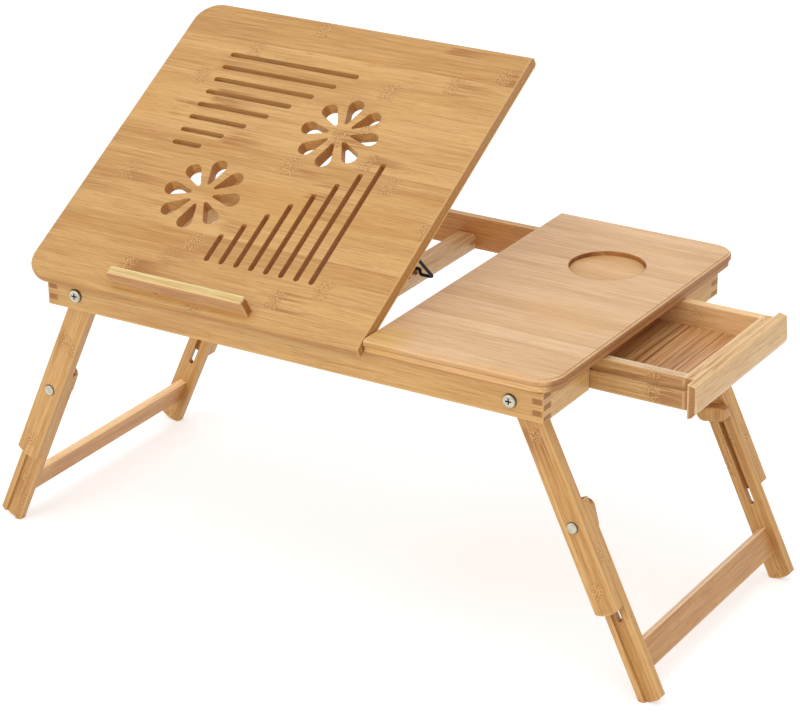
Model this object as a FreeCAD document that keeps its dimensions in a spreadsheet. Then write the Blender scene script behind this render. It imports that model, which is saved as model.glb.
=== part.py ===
import FreeCAD, Part
import math
import os
import re
import Sketcher

# Laptop stand with a tilting panel, a fixed side top over a drawer, and two pairs of
# folding legs that also slide out to set the height. +X is to the drawer's side, +Y to the
# back, +Z up; the origin is the centre of the stand's footprint on the floor. Lengths in mm.

NUMBERS = {
    # the whole stand
    "stand_wide": 550, "stand_deep": 350, "stand_high": 300, "top_thick": 12,
    # frame of rails
    "over_side": 15, "over_front": 12, "rail_high": 32, "rail_thick": 14, "side_thick": 11.5,
    "stub_front": 83.3, "stub_back": 74, "grip_round": 8, "grip_left": 225, "grip_right": 91,
    # fixed top
    "fixed_wide": 183.8, "seam_gap": 1.2, "corner_fixed": 22, "band_low": 6.2, "band_inset": 2,
    "field_rise": 0.6, "field_inset": 2.6, "edge_fixed": 2.4,
    "cup_at_x": 191, "cup_at_y": 77, "cup_round": 34.8, "cup_deep": 4,
    # rack rail
    "rack_wide": 20, "rack_round": 3, "notch_pitch": 13, "notch_deep": 4.5, "notch_flat": 4,
    "notch_land": 1,
    # tilting panel and its ledge
    "tilt_open": 30.3, "panel_gap": 0.15, "corner_panel": 25, "edge_upper": 5, "edge_lower": 4,
    "slot_wide": 5.5, "slot_step": 16, "slot_short": 32,
    "across_left": 209, "across_back": 289.5, "across_pitch": 16.1,
    "along_left": 100, "along_front": 54.5,
    "vent_a_x": 145, "vent_a_y": 125, "vent_b_x": 49, "vent_b_y": 222,
    "petal_out": 33.2, "petal_big": 7.8, "petal_in": 13.5, "petal_small": 1.8,
    "ledge_left": 173.5, "ledge_long": 148, "ledge_front": 6, "ledge_thick": 9,
    "ledge_high": 19.5, "ledge_round": 4.5, "ledge_ease": 1,
    # hinges
    "hinge_drop": 7, "barrel_clear": 0.5, "barrel_round": 2.5, "pin_round": 1,
    "leaf_thick": 1.2, "leaf_deep": 15, "leaf_long": 50, "knuckle_mid": 18, "knuckle_gap": 0.3,
    "hinge_left": 215, "hinge_right": 30,
    "leaf_screw_side": 18, "leaf_screw_in": 9, "leaf_screw_mid_in": 10.5,
    # prop wire
    "wire_round": 1.6, "wire_bend": 4, "prop_at": 143.5, "prop_drop": 3.5, "prop_long": 124,
    "prop_lean": 45.8, "prop_half": 28, "prop_ear": 24, "bar_half": 14, "bar_lift": 5.4,
    "bar_clear": 0.5, "clip_in": 6, "clip_long": 8, "clip_wall": 1.1, "clip_flange": 12,
    "clip_screw_in": 7.2,
    # drawer
    "drawer_open": 97.9, "drawer_drop": 1, "drawer_front_y": 82, "drawer_back_y": 72.5,
    "drawer_long": 140, "drawer_short": 2, "drawer_wall": 8.5, "drawer_nose": 9.5,
    "floor_down": 22, "floor_thick": 3, "floor_seat": 3,
    "groove_down": 7.3, "groove_high": 6, "groove_deep": 3.6,
    "board_over": 12, "board_ridge": 7.1, "board_ridge_down": 2.1, "board_front": 8.4,
    "board_turn_up": 9.4, "board_edge": 1, "board_lip": 1.4, "board_round": 10.8,
    "runner_tail": 100, "runner_thick": 10, "runner_play": 0.4, "runner_rise": 1,
    "tongue_short": 1,
    # legs
    "stop_gap": 0.37, "pivot_down": 30, "leg_splay": 24.75,
    "washer_thick": 1.7, "upper_wide": 24, "upper_thick": 12, "upper_long": 206.5,
    "upper_sag": 3, "tongue_play": 0.4, "tongue_from": 22,
    "lower_wide": 24.4, "lower_thick": 8.5, "lower_top": 105, "foot_round": 24.9,
    "leg_gap": 0.2, "track_wide": 12, "track_deep": 2.5, "track_slot": 5.5,
    "track_from": 121, "track_to": 219, "leg_ease": 1,
    "stretcher_at": 256.5, "stretcher_wide": 26, "stretcher_thick": 7.8,
    "tenon_wide": 24, "tenon_thick": 6.4, "tenon_long": 4.3, "tenon_play": 0.1,
    # bolts, knobs and pivot screws
    "bolt_at": 124, "bolt_shank": 2.4, "bolt_head": 5.5, "bolt_rise": 1.4, "bolt_dome": 1.2,
    "bolt_end_gap": 0.5,
    "knob_collar": 10, "knob_collar_high": 1.5, "knob_long": 31, "knob_wide": 15,
    "knob_high": 10.5, "knob_ease": 3.5, "knob_gap": 0.1, "knob_bore_deep": 9,
    "turn_right_front": 76, "turn_right_back": 10, "turn_left_front": 113, "turn_left_back": 10,
    "pivot_shank": 3, "pivot_head": 6.5, "pivot_head_high": 2.8, "pivot_dome": 2,
    "cross_long": 6, "cross_wide": 1.4, "cross_deep": 1.3, "washer_round": 8,
    # small screws
    "small_head": 2.6, "small_shank": 1.3, "small_long": 9, "small_rise": 1,
    "slit_long": 3.64, "slit_wide": 0.7, "end_gap": 1,
    # radial clearance of turning fits and of screws in their holes
    "fit": 0.05,
}

doc = FreeCAD.newDocument("LaptopStand")
sheet = doc.addObject("Spreadsheet::Sheet", "Sizes")
for row, (name, number) in enumerate(NUMBERS.items(), start=1):
    sheet.set("A%d" % row, str(number))
    sheet.setAlias("A%d" % row, name)
doc.recompute()

# Lengths worked out from the sheet, written as expressions so that they follow it.
HALF_FRAME = "(stand_wide / 2 - over_side)"
HALF_DEEP = "(stand_deep / 2 - over_front)"
RAIL_TOP = "(stand_high - top_thick)"
RAIL_FOOT = "(stand_high - top_thick - rail_high)"
RAIL_INNER = "(%s - rail_thick)" % HALF_DEEP
SIDE_INNER = "(%s - side_thick)" % HALF_FRAME
SEAM_RIGHT = "(stand_wide / 2 - fixed_wide)"
PANEL_UNDER = "(hinge_drop + panel_gap)"
PANEL_TOP = "(hinge_drop + top_thick)"
HINGE_AHEAD = "(barrel_round + barrel_clear)"
HINGE_Y = "(over_front - stand_deep / 2 - %s)" % HINGE_AHEAD
HINGE_Z = "(stand_high - top_thick - hinge_drop)"
PANEL_FRONT = "(%s - over_front)" % HINGE_AHEAD
PANEL_RIGHT = "(stand_wide / 2 - fixed_wide - seam_gap)"
PROP_Z = "(%s - prop_drop)" % PANEL_UNDER
BAR_Y = ("(%s + prop_at * cos(tilt_open) - %s * sin(tilt_open) + prop_long * cos(prop_lean))"
         % (HINGE_Y, PROP_Z))
BAR_Z = ("(%s + prop_at * sin(tilt_open) + %s * cos(tilt_open) - prop_long * sin(prop_lean) + bar_lift)"
         % (HINGE_Z, PROP_Z))
RACK_TOP = "(%s - wire_round - bar_clear)" % BAR_Z
PIVOT_OUT = ("(%s - (lower_wide / 2 + stop_gap) / cos(leg_splay)"
             " - (rail_high + top_thick - pivot_down) * tan(leg_splay))") % SIDE_INNER
PIVOT_HIGH = "(stand_high - pivot_down)"
DRAWER_FOOT = "(drawer_short - rail_high)"
UPPER_FACE = "(%s - washer_thick)" % RAIL_INNER
UPPER_INNER = "(%s - upper_thick)" % UPPER_FACE
LOWER_FACE = "(%s - leg_gap)" % UPPER_INNER
LOWER_INNER = "(%s - lower_thick)" % LOWER_FACE
TONGUE_HIGH = "(leg_gap + track_deep - tongue_play)"
TONGUE_HALF = "((track_wide - tongue_play) / 2)"
FOOT_END = "(foot_round + (stand_high - pivot_down - foot_round) / cos(leg_splay))"
CLIPS = ("-prop_half - prop_ear + clip_in", "prop_half + prop_ear - clip_in")

# How many of each repeated shape.
FINGERS = 6
NOTCHES = 5
SLOTS = 8
PETALS = 8

# An edge that reaches this far past a level isn't on it.
PAST = 1


def bound(text):
    """The expression with every sheet name pointed at the sheet."""
    return re.sub(r"[a-z]\w*", lambda m: "Sizes." + m.group() if m.group() in NUMBERS else m.group(), text)


def value(text):
    return float(sheet.evalExpression(text))


def new_body(label):
    body = doc.addObject("PartDesign::Body", label)
    body.Label = label
    return body


def place(body, base, axis=(0, 0, 1), angle="0"):
    """Bind a body's placement to the sheet."""
    body.Placement = FreeCAD.Placement(FreeCAD.Vector(), FreeCAD.Rotation(FreeCAD.Vector(*axis), 1))
    for letter, text in zip("xyz", base):
        body.setExpression("Placement.Base." + letter, bound(text))
    body.setExpression("Placement.Rotation.Angle", bound(angle))


def sketch_on(body, plane, shift=("0", "0", "0"), turn="0"):
    sketch = body.newObject("Sketcher::SketchObject", body.Label + "_sketch")
    support = [f for f in body.Origin.OriginFeatures if f.Role == plane + "_Plane"][0]
    sketch.AttachmentSupport = [(support, "")]
    sketch.MapMode = "FlatFace"
    for letter, text in zip("xyz", shift):
        sketch.setExpression("AttachmentOffset.Base." + letter, bound(text))
    sketch.setExpression("AttachmentOffset.Rotation.Angle", bound(turn))
    return sketch


def lock(sketch, edge, point, x, y):
    for kind, text in (("DistanceX", x), ("DistanceY", y)):
        index = sketch.addConstraint(Sketcher.Constraint(kind, -1, 1, edge, point, value(text)))
        sketch.setExpression("Constraints[%d]" % index, bound(text))


def size_arc(sketch, edge, text):
    index = sketch.addConstraint(Sketcher.Constraint("Radius", edge, value(text)))
    sketch.setExpression("Constraints[%d]" % index, bound(text))


def arc_between(start, end, radius):
    """An arc from start to end that bulges to the right of the way between them."""
    chord = end - start
    side = FreeCAD.Vector(chord.y, -chord.x, 0).normalize()
    back = math.sqrt(max(radius ** 2 - (chord.Length / 2) ** 2, 0))
    centre = (start + end) / 2 - side * back
    return Part.Arc(start, centre + side * radius, end)


def outline(sketch, corners):
    """A closed outline, anticlockwise. A corner's third entry is the radius of the arc to the next."""
    points = [FreeCAD.Vector(value(c[0]), value(c[1]), 0) for c in corners]
    edges = []
    for index, corner in enumerate(corners):
        start, end = points[index], points[(index + 1) % len(points)]
        if len(corner) == 3:
            shape = arc_between(start, end, value(corner[2]))
        else:
            shape = Part.LineSegment(start, end)
        edges.append(sketch.addGeometry(shape))
    for index, edge in enumerate(edges):
        following = edges[(index + 1) % len(edges)]
        sketch.addConstraint(Sketcher.Constraint("Coincident", edge, 2, following, 1))
    for edge, corner in zip(edges, corners):
        lock(sketch, edge, 1, corner[0], corner[1])
        if len(corner) == 3:
            size_arc(sketch, edge, corner[2])


def rectangle(sketch, left, right, low, high):
    outline(sketch, [(left, low), (right, low), (right, high), (left, high)])


def circle(sketch, x, y, radius):
    shape = Part.Circle(FreeCAD.Vector(value(x), value(y), 0), FreeCAD.Vector(0, 0, 1), value(radius))
    edge = sketch.addGeometry(shape)
    lock(sketch, edge, 3, x, y)
    size_arc(sketch, edge, radius)


def pill(sketch, first, first_radius, second, second_radius):
    """Two round ends joined by their outer tangents."""
    ends = [(value(p[0]), value(p[1])) for p in (first, second)]
    radii = [value(first_radius), value(second_radius)]
    heading = math.atan2(ends[1][1] - ends[0][1], ends[1][0] - ends[0][0])
    lean = math.acos((radii[0] - radii[1]) / math.dist(*ends))

    def on_end(index, angle):
        x, y = ends[index]
        return FreeCAD.Vector(x + radii[index] * math.cos(angle), y + radii[index] * math.sin(angle), 0)

    def round_end(index, start, end):
        centre = FreeCAD.Vector(*ends[index], 0)
        ring = Part.Circle(centre, FreeCAD.Vector(0, 0, 1), radii[index])
        return sketch.addGeometry(Part.ArcOfCircle(ring, start, end))

    up, down = heading + lean, heading - lean
    near = round_end(0, up, down + 2 * math.pi)
    far = round_end(1, down, up)
    back = sketch.addGeometry(Part.LineSegment(on_end(1, up), on_end(0, up)))
    out = sketch.addGeometry(Part.LineSegment(on_end(0, down), on_end(1, down)))
    for pair in ((far, back), (back, near), (near, out), (out, far)):
        sketch.addConstraint(Sketcher.Constraint("Tangent", pair[0], 2, pair[1], 1))
    lock(sketch, near, 3, *first)
    lock(sketch, far, 3, *second)
    size_arc(sketch, near, first_radius)
    size_arc(sketch, far, second_radius)


def layer(body, kind, plane, draw, low, high, shift=("0", "0"), turn="0"):
    """Pad or pocket what draw sketches, between two positions along the plane's normal axis."""
    if plane == "XZ":
        depth = "-(%s)" % (high if kind == "Pad" else low)
    else:
        depth = low if kind == "Pad" else high
    sketch = sketch_on(body, plane, (shift[0], shift[1], depth), turn)
    draw(sketch)
    feature = body.newObject("PartDesign::" + kind, body.Label + "_" + kind.lower())
    feature.Profile = sketch
    feature.setExpression("Length", bound("(%s) - (%s)" % (high, low)))
    sketch.Visibility = False
    return feature


def block(body, kind, plane, left, right, bottom, top, low, high):
    return layer(body, kind, plane, lambda s: rectangle(s, left, right, bottom, top), low, high)


def disc(body, kind, plane, x, y, radius, low, high):
    return layer(body, kind, plane, lambda s: circle(s, x, y, radius), low, high)


def ease(body, radius, wanted):
    """Round the edges of the body that wanted picks."""
    doc.recompute()
    tip = body.Tip
    names = ["Edge%d" % (i + 1) for i, edge in enumerate(tip.Shape.Edges) if wanted(edge)]
    feature = body.newObject("PartDesign::Fillet", body.Label + "_round")
    feature.Base = (tip, names)
    feature.setExpression("Radius", bound(radius))
    return feature


def spans(edge, letter):
    """The lowest and highest coordinate of an edge along x, y or z."""
    box = edge.BoundBox
    return getattr(box, letter.upper() + "Min"), getattr(box, letter.upper() + "Max")


def lies_at(edge, letter, text):
    low, high = spans(edge, letter)
    return abs(low - value(text)) < 1e-4 and abs(high - value(text)) < 1e-4


def runs(edge, letter):
    """True for a straight edge along the axis."""
    return isinstance(edge.Curve, Part.Line) and abs(getattr(edge.tangentAt(0), letter)) > 0.999


def band(side, near, far):
    """The stretch from near to far on the front (-1) or back (+1) side of the middle."""
    if side > 0:
        return near, far
    return "-(%s)" % far, "-(%s)" % near


def group(label, master, places):
    """One object holding copies of a master at the given (base, axis, angle) placements."""
    links = []
    for base, axis, angle in places:
        link = doc.addObject("App::Link", label + "_copy")
        link.LinkedObject = master
        place(link, base, axis, angle)
        links.append(link)
    compound = doc.addObject("Part::Compound", label)
    compound.Label = label
    compound.Links = links
    return compound


def fingers(outer, inner, first_is_long):
    """Corners of a finger-jointed end from the foot up to the top of a rail."""
    corners = []
    for level in range(FINGERS):
        long = (level % 2 == 0) == first_is_long
        x = outer if long else inner
        corners.append((x, "%s + rail_high * %d / %d" % (RAIL_FOOT, level, FINGERS)))
        corners.append((x, "%s + rail_high * %d / %d" % (RAIL_FOOT, level + 1, FINGERS)))
    return corners


def long_rail(label, side):
    """Front or back rail: long fingers at the foot, the middle and the top."""
    body = new_body(label)
    right = fingers(HALF_FRAME, SIDE_INNER, True)
    left = [("-" + x, z) for x, z in reversed(right)]
    low, high = band(side, RAIL_INNER, HALF_DEEP)
    layer(body, "Pad", "XZ", lambda s: outline(s, right + left), low, high)
    for x in (PIVOT_OUT, "-" + PIVOT_OUT):
        disc(body, "Pocket", "XZ", x, PIVOT_HIGH, "pivot_shank + fit", low, high)
    return body


def front_rail():
    """The frame leaves of the hinges sit in kerfs in the front face, screwed from the top."""
    body = long_rail("front_rail", -1)
    for middle in ("-hinge_left", "hinge_right"):
        block(body, "Pocket", "XZ", middle + " - leaf_long / 2", middle + " + leaf_long / 2",
              HINGE_Z + " - leaf_thick / 2", HINGE_Z + " + leaf_thick / 2",
              "-" + HALF_DEEP, "%s + leaf_deep" % HINGE_Y)
        for x, y in leaf_screw_spots(middle):
            y = "%s + %s" % (HINGE_Y, y)
            disc(body, "Pocket", "XY", x, y, "small_head", RAIL_TOP + " - leaf_thick", RAIL_TOP)
            disc(body, "Pocket", "XY", x, y, "small_shank + fit", RAIL_TOP + " - small_long",
                 RAIL_TOP + " - leaf_thick")
    return body


def back_rail():
    """The outer top edge is rounded over the open bay, as a grip."""
    body = long_rail("back_rail", 1)
    inner = "%s - grip_round" % HALF_DEEP
    low = "%s - grip_round" % RAIL_TOP
    corners = [(HALF_DEEP, low), (HALF_DEEP, RAIL_TOP), (inner, RAIL_TOP)]

    def draw(sketch):
        outline(sketch, corners)
        sketch.delGeometries([2])
        sketch.addGeometry(arc_between(*[FreeCAD.Vector(value(c[0]), value(c[1]), 0)
                                         for c in (corners[0], corners[2])], value("grip_round")))
        sketch.addConstraint(Sketcher.Constraint("Coincident", 2, 1, 0, 1))
        sketch.addConstraint(Sketcher.Constraint("Coincident", 2, 2, 1, 2))
        size_arc(sketch, 2, "grip_round")

    layer(body, "Pocket", "YZ", draw, "-grip_left", "grip_right")
    return body


def left_rail():
    body = new_body("left_rail")
    back = fingers(HALF_DEEP, RAIL_INNER, False)
    front = [("-" + y, z) for y, z in reversed(back)]
    layer(body, "Pad", "YZ", lambda s: outline(s, back + front), "-" + HALF_FRAME, "-" + SIDE_INNER)
    return body


def right_stub(label, side, inner):
    """Stub of the right side rail between a corner and the drawer opening."""
    body = new_body(label)
    sign = "" if side > 0 else "-"
    outer = [(sign + y, z) for y, z in fingers(HALF_DEEP, RAIL_INNER, False)]
    corners = outer + [(sign + inner, RAIL_TOP), (sign + inner, RAIL_FOOT)]
    if side < 0:
        corners = corners[::-1]
    layer(body, "Pad", "YZ", lambda s: outline(s, corners), SIDE_INNER, HALF_FRAME)
    return body


def top_outline(inset):
    """Plan of the fixed top, drawn in from its three outer sides."""
    right = "stand_wide / 2 - %s" % inset
    deep = "(stand_deep / 2 - %s)" % inset
    turn = "(corner_fixed - %s)" % inset
    return [
        (SEAM_RIGHT, "-" + deep),
        ("%s - %s" % (right, turn), "-" + deep, turn),
        (right, "-%s + %s" % (deep, turn)),
        (right, "%s - %s" % (deep, turn), turn),
        ("%s - %s" % (right, turn), deep),
        (SEAM_RIGHT, deep),
    ]


def fixed_top():
    body = new_body("fixed_top")
    step = RAIL_TOP + " + band_low"
    crown = "stand_high - field_rise"
    layer(body, "Pad", "XY", lambda s: outline(s, top_outline("band_inset")), RAIL_TOP, step)
    layer(body, "Pad", "XY", lambda s: outline(s, top_outline("0")), step, crown)
    ease(body, "edge_fixed", lambda e: lies_at(e, "z", crown) and not lies_at(e, "x", SEAM_RIGHT))
    layer(body, "Pad", "XY", lambda s: outline(s, top_outline("field_inset")), crown, "stand_high")
    disc(body, "Pocket", "XY", "cup_at_x", "cup_at_y", "cup_round", "stand_high - cup_deep", "stand_high")
    return body


def rack_rail():
    """Rail under the panel with saw-tooth notches; the upright side of each is at the back."""
    body = new_body("rack_rail")
    half = "rack_wide / 2"
    layer(body, "Pad", "YZ", lambda s: rectangle(s, "-" + RAIL_INNER, RAIL_INNER, RAIL_FOOT, RACK_TOP),
          "-" + half, half)
    ease(body, "rack_round", lambda e: lies_at(e, "z", RACK_TOP) and runs(e, "y"))
    layer(body, "Pocket", "YZ", notch_outline, "-" + half, half)
    pattern = body.newObject("PartDesign::LinearPattern", "rack_rail_notches")
    pattern.Originals = [body.Tip]
    pattern.Direction = (body.Tip.Profile[0], ["H_Axis"])
    pattern.Reversed = True
    pattern.setExpression("Length", bound("notch_pitch * %d" % (NOTCHES - 1)))
    pattern.Occurrences = NOTCHES
    body.Tip = pattern
    return body


def notch_outline(sketch):
    """The rearmost notch, in which the prop's bar stands."""
    wall = "(%s + notch_flat / 2)" % BAR_Y
    floor = RACK_TOP + " - notch_deep"
    outline(sketch, [
        (wall + " - notch_pitch + notch_land", RACK_TOP),
        (wall + " - notch_flat", floor),
        (wall, floor),
        (wall, RACK_TOP)])


def drawer_runner(label, side, edge):
    """Board hung from the fixed top, with a tongue that the drawer's groove rides on."""
    body = new_body(label)
    low, high = band(side, edge, edge + " + runner_thick")
    block(body, "Pad", "XY", "runner_tail", SIDE_INNER, low, high,
          RAIL_FOOT + " + runner_rise", RAIL_TOP)
    low, high = band(side, edge + " - groove_deep + runner_play", edge)
    tongue = "%s - drawer_drop - groove_down" % RAIL_TOP
    block(body, "Pad", "XY", "runner_tail", HALF_FRAME + " - tongue_short", low, high,
          tongue + " - groove_high + runner_play", tongue + " - runner_play")
    return body


def leaf_screw_spots(middle):
    """Where the screws of a hinge leaf sit, measured from the hinge axis."""
    return [(middle + " - leaf_screw_side", "leaf_screw_in"), (middle, "leaf_screw_mid_in"),
            (middle + " + leaf_screw_side", "leaf_screw_in")]


def knuckle(body, start, end):
    disc(body, "Pad", "YZ", "0", "0", "barrel_round", start, end)
    disc(body, "Pocket", "YZ", "0", "0", "pin_round + fit", start, end)


def leaf_span(middle):
    return middle + " - leaf_long / 2", middle + " + leaf_long / 2"


def frame_leaf(label, middle):
    """Flat plate level with the hinge axis, with the two outer knuckles on its front edge."""
    body = new_body(label)
    place(body, ("0", HINGE_Y, HINGE_Z))
    left, right = leaf_span(middle)
    half = "leaf_thick / 2"
    block(body, "Pad", "XY", left, right, "barrel_round + barrel_clear", "leaf_deep", "-" + half, half)
    ends = ((left, middle + " - knuckle_mid / 2 - knuckle_gap"),
            (middle + " + knuckle_mid / 2 + knuckle_gap", right))
    for start, end in ends:
        block(body, "Pad", "XY", start, end, "0", "barrel_round + barrel_clear", "-" + half, half)
        knuckle(body, start, end)
    for x, y in leaf_screw_spots(middle):
        disc(body, "Pocket", "XY", x, y, "small_shank + fit", "-" + half, half)
    return body


def panel_leaf(label, middle):
    """Cranked plate: a flange under the panel and a web down to the middle knuckle."""
    body = new_body(label)
    place(body, ("0", HINGE_Y, HINGE_Z), (1, 0, 0), "tilt_open")
    left, right = leaf_span(middle)
    half = "leaf_thick / 2"
    block(body, "Pad", "XY", left, right, "-" + half, "leaf_deep", PANEL_UNDER, PANEL_UNDER + " + leaf_thick")
    start, end = middle + " - knuckle_mid / 2", middle + " + knuckle_mid / 2"
    block(body, "Pad", "YZ", "-" + half, half, "0", PANEL_UNDER, start, end)
    knuckle(body, start, end)
    for x, y in leaf_screw_spots(middle):
        disc(body, "Pocket", "XY", x, y, "small_head", PANEL_UNDER, PANEL_UNDER + " + leaf_thick")
    return body


def hinge_pins():
    master = new_body("hinge_pin_master")
    disc(master, "Pad", "YZ", "0", "0", "pin_round", "-leaf_long / 2", "leaf_long / 2")
    spots = [((x, HINGE_Y, HINGE_Z), (0, 0, 1), "0") for x in ("-hinge_left", "hinge_right")]
    return group("hinge_pins", master, spots)


def plate_screw():
    """Screw set flush in a plate: its head lies at z 0, its shank goes down."""
    master = new_body("plate_screw_master")
    disc(master, "Pad", "XY", "0", "0", "small_head - fit", "-leaf_thick", "0")
    disc(master, "Pad", "XY", "0", "0", "small_shank", "-small_long + end_gap", "-leaf_thick")
    block(master, "Pocket", "XY", "-slit_long / 2", "slit_long / 2",
          "-slit_wide / 2", "slit_wide / 2", "-leaf_thick / 2", "0")
    return master


def frame_leaf_screws(master):
    spots = []
    for middle in ("-hinge_left", "hinge_right"):
        for x, y in leaf_screw_spots(middle):
            spots.append(((x, "%s + %s" % (HINGE_Y, y), RAIL_TOP), (0, 0, 1), "0"))
    return group("frame_leaf_screws", master, spots)


def on_panel(y, z):
    """Position in the stand of a point given along and across the open panel."""
    return ("%s + (%s) * cos(tilt_open) - (%s) * sin(tilt_open)" % (HINGE_Y, y, z),
            "%s + (%s) * sin(tilt_open) + (%s) * cos(tilt_open)" % (HINGE_Z, y, z))


def panel_leaf_screws(master):
    spots = []
    for middle in ("-hinge_left", "hinge_right"):
        for x, y in leaf_screw_spots(middle):
            spots.append(((x,) + on_panel(y, PANEL_UNDER), (1, 0, 0), "180 + tilt_open"))
    return group("panel_leaf_screws", master, spots)


def tilt_panel():
    """Panel drawn from the hinge axis: y runs up the panel and z across its thickness."""
    body = new_body("tilt_panel")
    place(body, ("0", HINGE_Y, HINGE_Z), (1, 0, 0), "tilt_open")
    left, back = "-stand_wide / 2", PANEL_FRONT + " + stand_deep"
    block(body, "Pad", "XY", left, PANEL_RIGHT, PANEL_FRONT, back, PANEL_UNDER, PANEL_TOP)
    ease(body, "corner_panel", lambda e: runs(e, "z") and lies_at(e, "x", left))
    for level, radius in ((PANEL_TOP, "edge_upper"), (PANEL_UNDER, "edge_lower")):
        ease(body, radius, lambda e, level=level: lies_at(e, "z", level)
             and not lies_at(e, "x", PANEL_RIGHT))
    layer(body, "Pocket", "XY", across_slots, PANEL_UNDER, PANEL_TOP, ("0", PANEL_FRONT))
    layer(body, "Pocket", "XY", along_slots, PANEL_UNDER, PANEL_TOP, ("0", PANEL_FRONT))
    for x, y in (("-vent_a_x", "vent_a_y"), ("-vent_b_x", "vent_b_y")):
        flower_vent(body, x, "%s + %s" % (PANEL_FRONT, y))
    for middle in ("-hinge_left", "hinge_right"):
        hinge_seat(body, middle)
    for x in CLIPS:
        disc(body, "Pocket", "XY", *clip_screw_spot(x), "small_shank + fit", PANEL_UNDER,
             PANEL_UNDER + " + small_long")
    return body


def across_slots(sketch):
    """Slots along X from one common left end, each shorter than the one behind it."""
    for count in range(SLOTS):
        start = "-across_left + slot_wide / 2"
        length = "slot_short + slot_step * %d" % (SLOTS - 1 - count)
        y = "across_back - across_pitch * %d" % count
        end = "%s + %s - slot_wide" % (start, length)
        pill(sketch, (start, y), "slot_wide / 2", (end, y), "slot_wide / 2")


def along_slots(sketch):
    """Slots along Y from one common front end, each longer than the one to its left."""
    for count in range(SLOTS):
        x = "-along_left + slot_step * %d" % count
        start = "along_front + slot_wide / 2"
        length = "slot_short + slot_step * %d" % count
        end = "%s + %s - slot_wide" % (start, length)
        pill(sketch, (x, start), "slot_wide / 2", (x, end), "slot_wide / 2")


def flower_vent(body, x, y):
    pocket = layer(body, "Pocket", "XY", lambda s: pill(s, ("0", "petal_in"), "petal_small",
                   ("0", "petal_out"), "petal_big"), PANEL_UNDER, PANEL_TOP, (x, y))
    pattern = body.newObject("PartDesign::PolarPattern", body.Label + "_petals")
    pattern.Originals = [pocket]
    pattern.Axis = (pocket.Profile[0], ["N_Axis"])
    pattern.Angle = 360
    pattern.Occurrences = PETALS
    body.Tip = pattern


def hinge_seat(body, middle):
    """Recess for the flange of a panel leaf, with its screw holes."""
    left, right = leaf_span(middle)
    floor = PANEL_UNDER + " + leaf_thick"
    block(body, "Pocket", "XY", left, right, "-leaf_thick / 2", "leaf_deep", PANEL_UNDER, floor)
    for x, y in leaf_screw_spots(middle):
        disc(body, "Pocket", "XY", x, y, "small_shank + fit", floor, PANEL_UNDER + " + small_long")


def ledge_bar():
    body = new_body("ledge_bar")
    place(body, ("0", HINGE_Y, HINGE_Z), (1, 0, 0), "tilt_open")
    front = PANEL_FRONT + " + ledge_front"
    top = PANEL_TOP + " + ledge_high"
    block(body, "Pad", "XZ", "-ledge_left", "-ledge_left + ledge_long", PANEL_TOP, top,
          front, front + " + ledge_thick")
    ease(body, "ledge_round", lambda e: runs(e, "y") and lies_at(e, "z", top))
    ease(body, "ledge_ease", lambda e: spans(e, "z")[1] > value(PANEL_TOP) + PAST)
    return body


def clip_screw_spot(x):
    """A clip's screw goes into the panel in front of the wire."""
    return x, "prop_at - clip_screw_in"


def prop_clip(label, x):
    """Saddle under the panel in which the wire's ear turns."""
    body = new_body(label)
    place(body, ("0", HINGE_Y, HINGE_Z), (1, 0, 0), "tilt_open")
    left, right = x + " - clip_long / 2", x + " + clip_long / 2"
    outer = "(wire_round + clip_wall)"
    plate = PANEL_UNDER + " - clip_wall"
    block(body, "Pad", "YZ", "prop_at - clip_flange", "prop_at + " + outer, plate, PANEL_UNDER, left, right)
    block(body, "Pad", "YZ", "prop_at - " + outer, "prop_at + " + outer, PROP_Z, plate, left, right)
    disc(body, "Pad", "YZ", "prop_at", PROP_Z, outer, left, right)
    disc(body, "Pocket", "YZ", "prop_at", PROP_Z, "wire_round + fit", left, right)
    disc(body, "Pocket", "XY", *clip_screw_spot(x), "small_shank + fit", plate, PANEL_UNDER)
    return body


def prop_clip_screws():
    master = new_body("clip_screw_master")
    disc(master, "Pad", "XY", "0", "0", "small_head", "0", "small_rise")
    disc(master, "Pad", "XY", "0", "0", "small_shank", "end_gap - small_long", "0")
    spots = []
    for x in CLIPS:
        spot = on_panel(clip_screw_spot(x)[1], PANEL_UNDER + " - clip_wall")
        spots.append(((x,) + spot, (1, 0, 0), "180 + tilt_open"))
    return group("prop_clip_screws", master, spots)


def prop_wire():
    """Bent wire: ears in the clips, two legs down to the rack and a bar across it."""
    ear, half, bar = value("prop_half + prop_ear"), value("prop_half"), value("bar_half")
    long, lift, lean = value("prop_long"), value("bar_lift"), math.radians(value("prop_lean"))
    bar_y, bar_z = long - lift * math.sin(lean), lift * math.cos(lean)
    side = [(ear, 0, 0), (half, 0, 0), (half, long, 0), (bar, long, 0), (bar, bar_y, bar_z)]
    points = [FreeCAD.Vector(*p) for p in side]
    points += [FreeCAD.Vector(-p[0], p[1], p[2]) for p in reversed(side)]
    wire = bent_path(points, value("wire_bend"))
    ring = Part.Wire(Part.Circle(points[0], FreeCAD.Vector(1, 0, 0), value("wire_round")).toShape())
    feature = doc.addObject("Part::Feature", "prop_wire")
    feature.Label = "prop_wire"
    feature.Shape = wire.makePipeShell([ring], True, True)
    place(feature, ("0",) + on_panel("prop_at", PROP_Z), (1, 0, 0), "-prop_lean")
    return feature


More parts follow.
